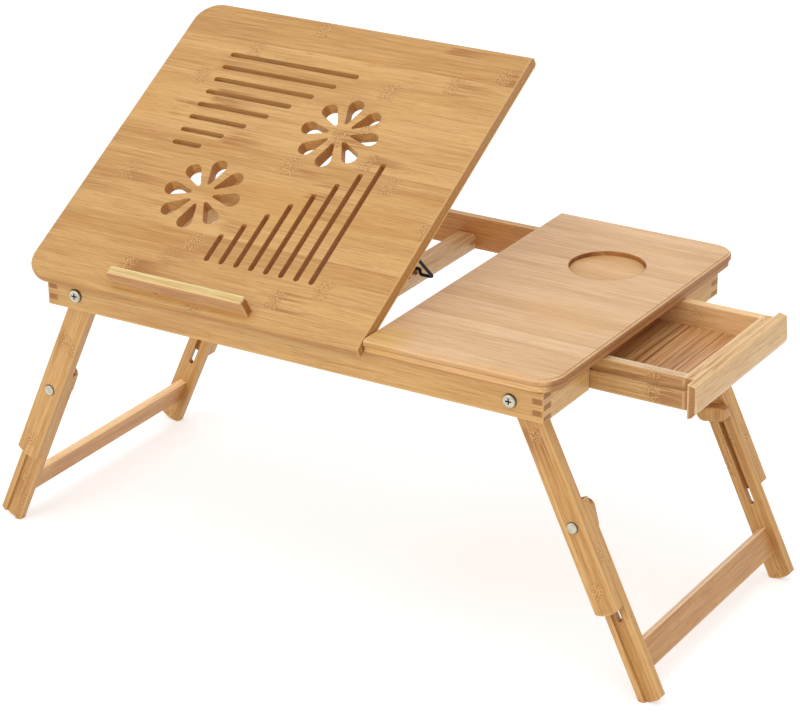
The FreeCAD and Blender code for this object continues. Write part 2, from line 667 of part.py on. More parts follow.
def bent_path(points, bend):
    """A path through the points, its corners rounded as far as the legs between them allow."""
    edges = []
    start = points[0]
    for before, corner, after in zip(points, points[1:], points[2:]):
        arrive, leave = (corner - before), (after - corner)
        turn = arrive.getAngle(leave)
        radius = min(bend, 0.45 * min(arrive.Length, leave.Length) / math.tan(turn / 2))
        cut = radius * math.tan(turn / 2)
        arrive.normalize()
        leave.normalize()
        first, last = corner - arrive * cut, corner + leave * cut
        inward = (leave - arrive).normalize()
        middle = corner + inward * (radius / math.cos(turn / 2) - radius)
        edges.append(Part.makeLine(start, first))
        edges.append(Part.Arc(first, middle, last).toShape())
        start = last
    edges.append(Part.makeLine(start, points[-1]))
    return Part.Wire(edges)


def drawer_body(label):
    """Drawer pieces are drawn from the outer top edge of the drawer's front wall."""
    body = new_body(label)
    place(body, (HALF_FRAME + " + drawer_open", "0", RAIL_TOP + " - drawer_drop"))
    return body


def floor_groove(body, plane, left, right, low, high):
    block(body, "Pocket", plane, left, right, "-floor_down - floor_thick", "-floor_down", low, high)


def runner_groove(body, side, outer, start, end):
    low, high = band(side, outer + " - groove_deep", outer)
    block(body, "Pocket", "XZ", start, end, "-groove_down - groove_high", "-groove_down", low, high)


def drawer_side(label, side, outer):
    body = drawer_body(label)
    low, high = band(side, outer + " - drawer_wall", outer)
    block(body, "Pad", "XZ", "-drawer_long", "-drawer_nose", DRAWER_FOOT, "0", low, high)
    runner_groove(body, side, outer, "-drawer_long", "-drawer_nose")
    low, high = band(side, outer + " - drawer_wall", outer + " - drawer_wall + floor_seat")
    floor_groove(body, "XZ", "-drawer_long + drawer_wall - floor_seat", "-drawer_nose", low, high)
    return body


def drawer_nose():
    body = drawer_body("drawer_front_wall")
    block(body, "Pad", "YZ", "-drawer_front_y", "drawer_back_y", DRAWER_FOOT, "0", "-drawer_nose", "0")
    floor_groove(body, "YZ", "-drawer_front_y + drawer_wall - floor_seat",
                 "drawer_back_y - drawer_wall + floor_seat", "-drawer_nose", "-drawer_nose + floor_seat")
    for side, outer in ((-1, "drawer_front_y"), (1, "drawer_back_y")):
        runner_groove(body, side, outer, "-drawer_nose", "0")
    return body


def drawer_tail():
    body = drawer_body("drawer_tail_wall")
    left, right = "-drawer_front_y + drawer_wall", "drawer_back_y - drawer_wall"
    block(body, "Pad", "YZ", left, right, DRAWER_FOOT, "0", "-drawer_long", "-drawer_long + drawer_wall")
    floor_groove(body, "YZ", left, right, "-drawer_long + drawer_wall - floor_seat",
                 "-drawer_long + drawer_wall")
    return body


def drawer_bottom():
    body = drawer_body("drawer_bottom")
    block(body, "Pad", "XY", "-drawer_long + drawer_wall - floor_seat", "-drawer_nose + floor_seat",
          "-drawer_front_y + drawer_wall - floor_seat", "drawer_back_y - drawer_wall + floor_seat",
          "-floor_down - floor_thick", "-floor_down")
    return body


def drawer_face():
    """Face board with a sloping top, a front that leans out a little and a round lower edge."""
    body = drawer_body("drawer_face_board")
    profile = [
        ("0", "0"),
        ("0", DRAWER_FOOT + " - board_lip"),
        ("board_edge", DRAWER_FOOT + " - board_lip", "board_round"),
        ("board_front", DRAWER_FOOT + " + board_turn_up"),
        ("board_ridge", "-board_ridge_down"),
    ]
    layer(body, "Pad", "XZ", lambda s: outline(s, profile), "-drawer_front_y - board_over",
          "drawer_back_y + board_over")
    return body


def leg_body(label, side):
    """Leg pieces are drawn upright with the pivot at the origin, then splayed outwards."""
    body = new_body(label)
    sign = "" if side > 0 else "-"
    place(body, (sign + PIVOT_OUT, "0", PIVOT_HIGH), (0, 1, 0), "%d * leg_splay" % -side)
    return body


def upper_leg(label, side, row):
    body = leg_body(label, side)
    low, high = band(row, UPPER_INNER, UPPER_FACE)
    half = "upper_wide / 2"
    end = "-upper_long + upper_sag"
    end_round = "(upper_wide ^ 2 / 4 + upper_sag ^ 2) / (2 * upper_sag)"
    shape = [("-" + half, end, end_round), (half, end), (half, "0"), ("-" + half, "0")]
    layer(body, "Pad", "XZ", lambda s: outline(s, shape), low, high)
    disc(body, "Pad", "XZ", "0", "0", half, low, high)
    ease(body, "leg_ease", lambda e: spans(e, "z")[1] > value(end) + PAST and not runs(e, "y"))
    tongue = band(row, "%s - %s" % (UPPER_INNER, TONGUE_HIGH), UPPER_INNER)
    block(body, "Pad", "XZ", "-" + TONGUE_HALF, TONGUE_HALF, end + " + leg_ease",
          "-tongue_from", *tongue)
    disc(body, "Pocket", "XZ", "0", "0", "pivot_shank + fit", low, high)
    through = band(row, "%s - %s" % (UPPER_INNER, TONGUE_HIGH), UPPER_FACE)
    disc(body, "Pocket", "XZ", "0", "-bolt_at", "bolt_shank + fit", *through)
    return body


def lower_leg(label, side, row):
    body = leg_body(label, side)
    low, high = band(row, LOWER_INNER, LOWER_FACE)
    half = "lower_wide / 2"
    foot = "-%s + foot_round - sqrt(foot_round ^ 2 - lower_wide ^ 2 / 4)" % FOOT_END
    shape = [("-" + half, foot, "foot_round"), (half, foot), (half, "-lower_top"), ("-" + half, "-lower_top")]
    layer(body, "Pad", "XZ", lambda s: outline(s, shape), low, high)
    ease(body, "leg_ease", lambda e: runs(e, "z"))
    track = band(row, LOWER_FACE + " - track_deep", LOWER_FACE)
    block(body, "Pocket", "XZ", "-track_wide / 2", "track_wide / 2", "-" + FOOT_END, "-lower_top", *track)
    layer(body, "Pocket", "XZ", lambda s: pill(s, ("0", "-track_from - track_slot / 2"), "track_slot / 2",
          ("0", "-track_to + track_slot / 2"), "track_slot / 2"), low, high)
    mortise = band(row, LOWER_INNER, LOWER_INNER + " + tenon_long + tenon_play")
    layer(body, "Pocket", "XZ", lambda s: tenon_outline(s, "tenon_play"), *mortise)
    return body


def tenon_outline(sketch, play):
    """Round-ended tenon section of the stretcher, or its mortise when play is given."""
    radius = "(tenon_thick / 2 + %s)" % play
    reach = "(tenon_wide / 2 - tenon_thick / 2)"
    pill(sketch, ("0", "-stretcher_at - " + reach), radius, ("0", "-stretcher_at + " + reach), radius)


def stretcher(label, side):
    body = leg_body(label, side)
    block(body, "Pad", "XZ", "-stretcher_thick / 2", "stretcher_thick / 2",
          "-stretcher_at - stretcher_wide / 2", "-stretcher_at + stretcher_wide / 2",
          "-" + LOWER_INNER, LOWER_INNER)
    ease(body, "leg_ease", lambda e: runs(e, "y"))
    for row in (-1, 1):
        tenon = band(row, LOWER_INNER, LOWER_INNER + " + tenon_long")
        layer(body, "Pad", "XZ", lambda s: tenon_outline(s, "0"), *tenon)
    return body


def along_leg(side, distance):
    """Position in X and Z of a point at a distance down a leg's axis."""
    sign = "" if side > 0 else "-"
    return (sign + "(%s + %s * sin(leg_splay))" % (PIVOT_OUT, distance),
            PIVOT_HIGH + " - %s * cos(leg_splay)" % distance)


def leg_bolts(label, side, master):
    x, z = along_leg(side, "bolt_at")
    spots = [((x, "-" + UPPER_FACE, z), (0, 0, 1), "0"), ((x, UPPER_FACE, z), (0, 0, 1), "180")]
    return group(label, master, spots)


def bolt_master():
    """Bolt along Y: domed head in front of y 0, shank behind it."""
    master = new_body("bolt_master")
    disc(master, "Pad", "XZ", "0", "0", "bolt_head", "-bolt_rise", "0")
    ease(master, "bolt_dome", lambda e: lies_at(e, "y", "-bolt_rise"))
    disc(master, "Pad", "XZ", "0", "0", "bolt_shank", "0",
         "upper_thick + leg_gap + lower_thick + knob_gap + knob_bore_deep - bolt_end_gap")
    return master


def knob(label, side, row, turn):
    """Turning knob: a long grip on a round collar, on the inner side of the lower leg."""
    body = new_body(label)
    x, z = along_leg(side, "bolt_at")
    face = "(%s - knob_gap)" % LOWER_INNER
    if row < 0:
        place(body, (x, "-" + face, z), (1, 0, 0), "-90")
    else:
        place(body, (x, face, z), (1, 0, 0), "90")
    disc(body, "Pad", "XY", "0", "0", "knob_collar", "0", "knob_collar_high")
    reach = "(knob_long - knob_wide) / 2"
    top = "knob_collar_high + knob_high"
    layer(body, "Pad", "XY", lambda s: pill(s, ("-" + reach, "0"), "knob_wide / 2", (reach, "0"),
          "knob_wide / 2"), "knob_collar_high", top, turn=turn)
    ease(body, "knob_ease", lambda e: lies_at(e, "z", top))
    disc(body, "Pocket", "XY", "0", "0", "bolt_shank + fit", "0", "knob_bore_deep")
    return body


def pivot_places(y):
    spots = []
    for x in ("-" + PIVOT_OUT, PIVOT_OUT):
        spots.append(((x, "-" + y, PIVOT_HIGH), (0, 0, 1), "0"))
        spots.append(((x, y, PIVOT_HIGH), (0, 0, 1), "180"))
    return spots


def pivot_screws():
    """Pan-head screws along Y on which the legs turn."""
    master = new_body("pivot_screw_master")
    disc(master, "Pad", "XZ", "0", "0", "pivot_head", "-pivot_head_high", "0")
    ease(master, "pivot_dome", lambda e: lies_at(e, "y", "-pivot_head_high"))
    disc(master, "Pad", "XZ", "0", "0", "pivot_shank", "0",
         "rail_thick + washer_thick + upper_thick - end_gap")
    for long, wide in (("cross_long", "cross_wide"), ("cross_wide", "cross_long")):
        block(master, "Pocket", "XZ", "-%s / 2" % long, long + " / 2", "-%s / 2" % wide, wide + " / 2",
              "-pivot_head_high", "-pivot_head_high + cross_deep")
    return group("pivot_screws", master, pivot_places(HALF_DEEP))


def pivot_washers():
    master = new_body("pivot_washer_master")
    disc(master, "Pad", "XZ", "0", "0", "washer_round", "0", "washer_thick")
    disc(master, "Pocket", "XZ", "0", "0", "pivot_shank + fit", "0", "washer_thick")
    return group("pivot_washers", master, pivot_places(RAIL_INNER))


def build_frame():
    screw = plate_screw()
    return [
        front_rail(), back_rail(), left_rail(),
        right_stub("right_stub_front", -1, "stub_front"), right_stub("right_stub_back", 1, "stub_back"),
        fixed_top(), rack_rail(),
        drawer_runner("drawer_runner_front", -1, "stub_front"),
        drawer_runner("drawer_runner_back", 1, "stub_back"),
        frame_leaf("frame_leaf_left", "-hinge_left"), frame_leaf("frame_leaf_right", "hinge_right"),
        hinge_pins(), frame_leaf_screws(screw), pivot_screws(), pivot_washers(),
        tilt_panel(), ledge_bar(),
        panel_leaf("panel_leaf_left", "-hinge_left"), panel_leaf("panel_leaf_right", "hinge_right"),
        panel_leaf_screws(screw),
        prop_clip("prop_clip_left", CLIPS[0]), prop_clip("prop_clip_right", CLIPS[1]),
        prop_clip_screws(), prop_wire(),
    ]


def build_drawer():
    return [
        drawer_side("drawer_side_front", -1, "drawer_front_y"),
        drawer_side("drawer_side_back", 1, "drawer_back_y"),
        drawer_nose(), drawer_tail(), drawer_bottom(), drawer_face(),
    ]


def build_legs():
    pieces = []
    bolt = bolt_master()
    for hand, side in (("right", 1), ("left", -1)):
        for end, row in (("front", -1), ("back", 1)):
            name = hand + "_" + end
            pieces.append(upper_leg("upper_leg_" + name, side, row))
            pieces.append(lower_leg("lower_leg_" + name, side, row))
            pieces.append(knob("knob_" + name, side, row, "turn_" + name))
        pieces.append(stretcher("stretcher_" + hand, side))
        pieces.append(leg_bolts("leg_bolts_" + hand, side, bolt))
    return pieces


def check_document():
    for item in doc.Objects:
        if "Invalid" in item.State or "Error" in item.State:
            raise RuntimeError("%s is not up to date: %s" % (item.Label, item.State))
        if item.TypeId == "PartDesign::Pocket" and item.Shape.Volume >= item.BaseFeature.Shape.Volume:
            raise RuntimeError(item.Label + " cuts nothing")


def write_pieces(pieces):
    os.makedirs("parts", exist_ok=True)
    for piece in pieces:
        if piece.Shape.isNull() or not piece.Shape.isValid():
            raise RuntimeError(piece.Label + " has no valid shape")
        piece.Shape.exportStep("parts/%s.step" % piece.Label)


all_pieces = build_frame() + build_drawer() + build_legs()
doc.recompute()
check_document()
write_pieces(all_pieces)
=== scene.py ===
import bpy
import math
from mathutils import Matrix, Vector


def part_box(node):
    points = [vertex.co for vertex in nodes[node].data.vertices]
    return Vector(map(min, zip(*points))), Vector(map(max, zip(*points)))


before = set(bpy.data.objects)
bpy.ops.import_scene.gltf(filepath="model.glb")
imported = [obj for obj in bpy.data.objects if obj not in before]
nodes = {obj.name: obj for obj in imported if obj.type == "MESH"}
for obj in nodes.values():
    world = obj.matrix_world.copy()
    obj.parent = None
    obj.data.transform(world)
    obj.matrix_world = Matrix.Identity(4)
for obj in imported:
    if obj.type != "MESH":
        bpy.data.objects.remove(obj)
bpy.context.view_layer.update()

# Directions that the bamboo's grain follows, in the stand's frame.
TILT = math.radians(30.3)
SPLAY = math.radians(24.75)
SIDEWAYS = Vector((1, 0, 0))
BACKWARD = Vector((0, 1, 0))
UPWARD = Vector((0, 0, 1))
UP_PANEL = Vector((0, math.cos(TILT), math.sin(TILT)))
DOWN_RIGHT_LEG = Vector((math.sin(SPLAY), 0, -math.cos(SPLAY)))
DOWN_LEFT_LEG = Vector((-math.sin(SPLAY), 0, -math.cos(SPLAY)))


# ---------------------------------------------------------------- node helpers

class Net:
    """Adds and links the nodes of one node tree."""

    def __init__(self, tree):
        self.tree = tree

    def add(self, kind, **settings):
        node = self.tree.nodes.new(kind)
        for name, value in settings.items():
            setattr(node, name, value)
        return node

    def put(self, socket, value):
        """Links another socket to this one, or sets its plain value."""
        if isinstance(value, bpy.types.NodeSocket):
            self.tree.links.new(value, socket)
        else:
            socket.default_value = value

    def math(self, operation, *values):
        node = self.add("ShaderNodeMath", operation=operation)
        for socket, value in zip(node.inputs, values):
            self.put(socket, value)
        return node.outputs[0]

    def times(self, *values):
        result = values[0]
        for value in values[1:]:
            result = self.math("MULTIPLY", result, value)
        return result

    def total(self, *values):
        result = values[0]
        for value in values[1:]:
            result = self.math("ADD", result, value)
        return result

    def vector(self, operation, *values):
        node = self.add("ShaderNodeVectorMath", operation=operation)
        for socket, value in zip(node.inputs, values):
            self.put(socket, value)
        return node.outputs["Value" if operation in ("DISTANCE", "DOT_PRODUCT") else "Vector"]

    def split(self, vector):
        node = self.add("ShaderNodeSeparateXYZ")
        self.put(node.inputs[0], vector)
        return node.outputs

    def join(self, x, y, z):
        node = self.add("ShaderNodeCombineXYZ")
        for socket, value in zip(node.inputs, (x, y, z)):
            self.put(socket, value)
        return node.outputs[0]

    def smooth(self, value, start, end, low=0.0, high=1.0):
        """Eases from low to high while the value goes from start to end."""
        node = self.add("ShaderNodeMapRange", interpolation_type="SMOOTHSTEP")
        for socket, number in zip(node.inputs, (value, start, end, low, high)):
            self.put(socket, number)
        return node.outputs[0]

    def noise(self, vector, scale, detail=2.0, rough=0.5):
        """A noise around 0.5 whose scale is given for x, y and z."""
        node = self.add("ShaderNodeTexNoise")
        self.put(node.inputs["Vector"], self.vector("MULTIPLY", vector, scale))
        node.inputs["Scale"].default_value = 1.0
        node.inputs["Detail"].default_value = detail
        node.inputs["Roughness"].default_value = rough
        return node.outputs["Fac"]

    def randoms(self, x, y, z):
        """Three numbers from 0 to 1 that change from cell to cell."""
        node = self.add("ShaderNodeTexWhiteNoise", noise_dimensions="3D")
        self.put(node.inputs["Vector"], self.join(x, y, z))
        return self.split(node.outputs["Color"])

    def mix(self, share, first, second, blend="MIX"):
        node = self.add("ShaderNodeMix", data_type="RGBA", blend_type=blend)
        self.put(node.inputs[0], share)
        self.put(node.inputs[6], first)
        self.put(node.inputs[7], second)
        return node.outputs[2]

    def tint(self, color, shares):
        """The colour with its red, green and blue multiplied by the shares."""
        return self.mix(1.0, color, (*shares, 1), "MULTIPLY")

    def sway(self, value, amount):
        """A noise centred on zero and scaled."""
        return self.math("MULTIPLY", self.math("SUBTRACT", value, 0.5), amount)


# ------------------------------------------------------------ bamboo's pattern

FLOAT, COLOR, VECTOR = "NodeSocketFloat", "NodeSocketColor", "NodeSocketVector"
PATTERN_INPUTS = {"Point": VECTOR, "Facing": VECTOR, "Half": VECTOR,
                  "Strip": FLOAT, "Ply": FLOAT, "Seed": FLOAT, "Tone": COLOR,
                  "Streak": FLOAT, "Knots": FLOAT, "Walls": FLOAT, "WearAndHighlight": FLOAT}
PATTERN_OUTPUTS = {"Color": COLOR, "Roughness": FLOAT, "Height": FLOAT}

# Lengths of the pattern in metres, and the glue line's share of a strip.
NODE_PITCH = 0.185
NODE_HALF = 0.0095
NODE_RAGGED = 0.016
FIBRE_DRIFT = 0.004
# Where the paler edge band is full and where it ends; the band is partly rubbed lacquer, partly a painted
# highlight.
WEAR_AND_HIGHLIGHT_SOLID = 0.0003
WEAR_AND_HIGHLIGHT_REACH = 0.0022
GLUE_SHARE = 0.032

# How far from the middle of a stalk's node its brown smudge starts, is full, begins to fade and ends.
SMUDGE = (-0.008, 0.003, 0.008, 0.050)

# So that nothing repeats: how far the fibres are moved from strip to strip and from board to board,
# how many pitches the stalk's nodes are moved from strip to strip, and a step that keeps the nodes'
# random numbers apart from their strip's own.
STRIP_SHIFT = 9.0
SEED_SHIFT = 0.37
NODE_SHIFT = 7.0
NODE_STEP = 1.7

# A noise's scale is how often it changes in a metre, here along, across and through the board.
# The fibres' noises also have their detail and roughness.
FIBRES = {"broad": ((4.5, 90.0, 90.0), 2.0, 0.5),
          "middle": ((13.0, 430.0, 430.0), 3.0, 0.68),
          "fine": ((24.0, 1050.0, 1050.0), 2.0, 0.6),
          "line": ((8.0, 520.0, 520.0), 1.0, 0.5),
          "pore": ((75.0, 900.0, 900.0), 1.0, 0.5)}
SLOW_SCALE = (5.0, 11.0, 11.0)
DRIFT_SCALE = (9.0, 20.0, 20.0)
RAGGED_SCALE = (50.0, 230.0, 230.0)
SPECK_SCALE = (600.0, 1000.0, 1000.0)
DOT_SCALE = (700.0, 900.0, 900.0)

# Colours of the pattern, each as shares of the board's own tone.
PALE_STRIP = (1.16, 1.25, 1.42)
DEEP_STRIP = (0.76, 0.64, 0.50)
BROWN_STREAK = (0.62, 0.46, 0.36)
DARK_FLECK = (0.48, 0.32, 0.22)
AMBER_LACQUER = (1.00, 0.92, 0.66)
SAWN_END = (0.44, 0.31, 0.22)
DEEP_WALL = (0.74, 0.58, 0.44)
PALE_WALL = (1.00, 0.90, 0.74)


def lay_strips(net, given, across, through):
    """Which strip and ply a point lies in, its own random numbers and the glue line beside it."""
    strips = net.total(net.math("DIVIDE", across, given["Strip"]), 0.5)
    strip = net.math("FLOOR", strips)
    ply = net.math("FLOOR", net.total(net.math("DIVIDE", through, given["Ply"]), 0.5))
    own = net.randoms(strip, ply, given["Seed"])
    place = net.math("SUBTRACT", strips, strip)
    glue = net.math("MINIMUM", place, net.math("SUBTRACT", 1.0, place))
    return strip, ply, own, net.smooth(glue, 0.0, GLUE_SHARE, 1.0, 0.0)


def run_fibres(net, given, along, across, through, own):
    """Noises drawn out along the grain, from broad bands to single fibres."""
    shifted = net.join(net.total(along, net.times(own[0], STRIP_SHIFT)),
                       net.total(across, net.times(given["Seed"], SEED_SHIFT)), through)
    drift = net.sway(net.noise(shifted, DRIFT_SCALE, 1.0), FIBRE_DRIFT)
    wavy = net.vector("ADD", shifted, net.join(0.0, drift, 0.0))
    fibres = {name: net.noise(wavy, *settings) for name, settings in FIBRES.items()}
    fibres["slow"] = net.noise(given["Point"], SLOW_SCALE)
    return fibres


def grow_nodes(net, given, along, strip, ply, own, fibres):
    """The stalk's nodes: a speckled band across one strip, often with a brown stretch beside it."""
    cells = net.total(net.math("DIVIDE", along, NODE_PITCH), net.times(own[1], NODE_SHIFT))
    cell = net.math("FLOOR", cells)
    chance = net.randoms(net.times(strip, NODE_STEP), net.total(cell, ply), given["Seed"])
    away = net.math("SUBTRACT", net.math("SUBTRACT", cells, cell), 0.5)
    away = net.times(net.math("SUBTRACT", away, net.sway(chance[0], 0.5)), NODE_PITCH)
    away = net.total(away, net.sway(net.noise(given["Point"], RAGGED_SCALE), NODE_RAGGED))
    present = net.times(net.smooth(chance[1], 0.25, 0.62), given["Knots"])
    band = net.times(present, net.smooth(net.math("ABSOLUTE", away), NODE_HALF / 2, NODE_HALF, 1.0, 0.0))
    speck = net.noise(given["Point"], SPECK_SCALE, 2.0, 0.65)
    start, full, fading, gone = SMUDGE
    fade = net.times(net.smooth(away, start, full), net.smooth(away, fading, gone, 1.0, 0.0))
    patchy = net.smooth(net.total(fibres["broad"], net.sway(fibres["middle"], 1.0)), 0.60, 0.46)
    smudge = net.times(fade, net.smooth(chance[2], 0.25, 0.75), given["Knots"], patchy)
    return band, speck, smudge


def cut_share(net, given):
    """How much of a point's surface is cut wood: sawn ends, and walls where the node asks for them."""
    facing = [net.math("ABSOLUTE", part) for part in net.split(given["Facing"])]
    end = net.times(net.smooth(facing[0], 0.55, 0.85), 0.95)
    wall = net.times(given["Walls"], net.smooth(facing[2], 0.20, 0.70, 1.0, 0.0))
    return end, net.math("MAXIMUM", end, wall)


def edge_share(net, given, fibres):
    """How near a point lies to the edges of its node's box, which are painted paler: partly lacquer rubbed
    thin, partly a painted highlight along the arrises.
    """
    half = net.split(net.vector("SUBTRACT", given["Half"], net.vector("ABSOLUTE", given["Point"])))
    nearer = net.math("MINIMUM", half[0], half[1])
    farther = net.math("MAXIMUM", half[0], half[1])
    second = net.math("MAXIMUM", nearer, net.math("MINIMUM", farther, half[2]))
    # The band is partly rubbed lacquer and partly a painted highlight along the arrises.
    rubbed = net.total(second, net.sway(fibres["middle"], WEAR_AND_HIGHLIGHT_REACH))
    return net.times(net.smooth(rubbed, WEAR_AND_HIGHLIGHT_SOLID, WEAR_AND_HIGHLIGHT_REACH, 1.0, 0.0), given["WearAndHighlight"])


def bamboo_pattern():
    """Strips of bamboo laid side by side: x runs along the grain, y across, z through."""
    group = bpy.data.node_groups.new("BambooPattern", "ShaderNodeTree")
    for name, kind in PATTERN_INPUTS.items():
        group.interface.new_socket(name, in_out="INPUT", socket_type=kind)
    for name, kind in PATTERN_OUTPUTS.items():
        group.interface.new_socket(name, in_out="OUTPUT", socket_type=kind)
    net = Net(group)
    given = net.add("NodeGroupInput").outputs
    along, across, through = net.split(given["Point"])
    strip, ply, own, glue = lay_strips(net, given, across, through)
    fibres = run_fibres(net, given, along, across, through, own)
    band, speck, smudge = grow_nodes(net, given, along, strip, ply, own, fibres)
    end, cut = cut_share(net, given)
    edge = edge_share(net, given, fibres)

    pale = net.tint(given["Tone"], PALE_STRIP)
    deep = net.tint(given["Tone"], DEEP_STRIP)
    brown = net.tint(given["Tone"], BROWN_STREAK)
    fleck = net.tint(given["Tone"], DARK_FLECK)
    amber = net.tint(given["Tone"], AMBER_LACQUER)
    streaks = net.total(net.sway(fibres["middle"], 1.35), net.sway(fibres["fine"], 1.6))
    tone = net.total(0.5, net.sway(own[0], 0.42), net.sway(fibres["broad"], 0.7),
                     net.sway(fibres["slow"], 0.5), net.times(given["Streak"], streaks),
                     net.times(glue, -0.22))
    color = net.mix(net.math("MINIMUM", net.math("MAXIMUM", tone, 0.0), 1.0), deep, pale)
    color = net.mix(net.smooth(fibres["slow"], 0.52, 0.75, 0.0, 0.6), color, amber)
    color = net.mix(net.times(net.smooth(fibres["line"], 0.60, 0.72), given["Streak"], 0.38), color, brown)
    color = net.mix(net.times(net.smooth(fibres["pore"], 0.56, 0.70), given["Streak"], 0.34), color, brown)
    color = net.mix(net.times(smudge, 0.85), color, brown)
    color = net.mix(net.times(band, 0.30), color, brown)
    color = net.mix(net.times(band, net.smooth(speck, 0.48, 0.60, 0.0, 0.95)), color, pale)
    color = net.mix(net.times(band, net.smooth(speck, 0.37, 0.49, 0.80, 0.0)), color, fleck)

    dots = net.noise(given["Point"], DOT_SCALE)
    sawn = net.mix(net.smooth(dots, 0.35, 0.62), net.tint(given["Tone"], SAWN_END), brown)
    wall = net.mix(net.smooth(fibres["middle"], 0.34, 0.62), net.tint(given["Tone"], DEEP_WALL),
                   net.tint(given["Tone"], PALE_WALL))
    color = net.mix(cut, color, wall)
    color = net.mix(end, color, sawn)
    # Edges painted paler: rubbed lacquer and a painted highlight.
    color = net.mix(edge, color, pale)

    rough = net.total(0.40, net.sway(fibres["middle"], 0.16), net.times(cut, 0.16), net.times(band, 0.08),
                      net.times(edge, -0.06))
    height = net.total(net.times(fibres["fine"], 0.35), net.times(fibres["middle"], 0.5),
                       net.times(band, speck, 0.9), net.times(glue, -0.5), net.times(cut, dots, 1.2))
    done = net.add("NodeGroupOutput").inputs
    net.put(done["Color"], color)
    net.put(done["Roughness"], rough)
    net.put(done["Height"], height)
    return group


PATTERN = bamboo_pattern()


def new_material(name):
    """An empty material, a helper for its nodes and the one shader that it has."""
    material = bpy.data.materials.new(name)
    material.use_nodes = True
    material.node_tree.nodes.clear()
    net = Net(material.node_tree)
    shader = net.add("ShaderNodeBsdfPrincipled")
    out = net.add("ShaderNodeOutputMaterial")
    net.put(out.inputs["Surface"], shader.outputs["BSDF"])
    return material, net, shader


def wear_material(node, material):
    """Puts a material on the whole mesh of a node."""
    mesh = nodes[node].data
    mesh.materials.clear()
    mesh.materials.append(material)


def add_bump(net, shader, height, strength, distance):
    bump = net.add("ShaderNodeBump")
    bump.inputs["Strength"].default_value = strength
    bump.inputs["Distance"].default_value = distance
    net.put(bump.inputs["Height"], height)
    net.put(shader.inputs["Normal"], bump.outputs["Normal"])


def local_box(node, turn):
    """Middle and half size of a node, measured along the axes of its grain."""
    spots = [turn @ vertex.co for vertex in nodes[node].data.vertices]
    low = Vector(min(spot[axis] for spot in spots) for axis in range(3))
    high = Vector(max(spot[axis] for spot in spots) for axis in range(3))
    return (low + high) / 2, (high - low) / 2


def name_seed(node):
    """A number of its own for every node, from the letters of its name."""
    return float(sum(ord(letter) * (place + 3) for place, letter in enumerate(node)) % 97)


# A board is pressed from about three plies, and its lacquer is thin and satin.
PLIES = 2.9
BUMP_STRENGTH = 0.35
BUMP_HIGH = 0.0004
LACQUER_SPECULAR = 0.36
LACQUER_COAT = 0.05
COAT_ROUGH = 0.25


def bamboo(node, along, across, tone, strip, streak=1.0, knots=1.0, walls=0.0, wear_and_highlight=0.45, accent=None):
    """Gives a node lacquered bamboo: its grain runs along one direction of the stand, and its
    strips, of one width, lie side by side across it."""
    axes = (along, across, along.cross(across))
    middle, half = local_box(node, Matrix(axes))
    material, net, shader = new_material("bamboo_" + node)
    place = net.add("ShaderNodeTexCoord").outputs

    def turned(vector):
        return net.join(*[net.vector("DOT_PRODUCT", vector, tuple(axis)) for axis in axes])

    pattern = net.add("ShaderNodeGroup", node_tree=PATTERN)
    values = {"Point": net.vector("SUBTRACT", turned(place["Object"]), tuple(middle)),
              "Facing": turned(place["Normal"]), "Half": tuple(half), "Strip": strip,
              "Ply": 2 * half.z / PLIES, "Seed": name_seed(node),
              "Tone": (*tone, 1), "Streak": streak, "Knots": knots, "Walls": walls, "WearAndHighlight": wear_and_highlight}
    for name, value in values.items():
        net.put(pattern.inputs[name], value)
    color = pattern.outputs["Color"]
    if accent:
        color = accent(net, place, color)
    net.put(shader.inputs["Base Color"], color)
    net.put(shader.inputs["Roughness"], pattern.outputs["Roughness"])
    add_bump(net, shader, pattern.outputs["Height"], BUMP_STRENGTH, BUMP_HIGH)
    shader.inputs["Specular IOR Level"].default_value = LACQUER_SPECULAR
    shader.inputs["Coat Weight"].default_value = LACQUER_COAT
    shader.inputs["Coat Roughness"].default_value = COAT_ROUGH
    wear_material(node, material)


# ------------------------------------------- accents of single boards, over the pattern

# Places on the fixed top, in the stand's frame: the cup recess, the corner where lacquer has run
# and the heights of its moulding's bands.
CUP_AT = (0.191, 0.077)
CUP_ROUND = 0.0348
LACQUER_RUN = (0.106, -0.158, 0.300)
BAND_TOP = 0.2942
BAND_FOOT = 0.2880
FIELD_FOOT = 0.2994

# How wide a rim of the panel keeps the walls of its outer edge.
EDGE_KEPT = 0.010

# Colours of the accents, as shares of the colour below them.
CUP_LACQUER = (0.98, 0.92, 0.74)
SCORCH = (0.55, 0.38, 0.20)
THICK_LACQUER = (0.92, 0.88, 0.50)
PALE_BAND = (1.28, 1.34, 1.26)
# The moulding's lip carries a painted highlight, and its crease and foot carry painted shade.
LIP_HIGHLIGHT = (1.30, 1.36, 1.42)
CREASE_SHADE = (0.50, 0.38, 0.28)
# Painted shade on the back rail's inward side.
INSIDE_SHADE = (0.88, 0.68, 0.54)
BROWN_STICK = (0.72, 0.60, 0.50)
STICK_JOINT = (0.50, 0.37, 0.26)
ROUTED_ALONG = (1.08, 1.20, 1.24)
ROUTED_ACROSS = (1.44, 1.48, 1.34)
DEEP_PLY = (1.30, 1.48, 1.80)
PALE_PLY = (1.75, 2.08, 2.30)
# Painted light on the upper sides of the ledge, the drawer's front side and the stretchers.
LEDGE_TOP_LIGHT = (1.42, 2.25, 3.30)
DRAWER_TOP_LIGHT = (1.15, 1.44, 2.30)
STRETCHER_TOP_LIGHT = (1.60, 2.10, 3.00)

# Scales of the accents' noises, along the stand's x, y and z, or through the panel's plies.
SCORCH_SCALE = (90.0, 90.0, 90.0)
STICK_LINE_SCALE = (800.0, 6.0, 6.0)
STICK_BAND_SCALE = (120.0, 4.0, 4.0)
PLY_SCALE = (480.0, 1.0, 1.0)


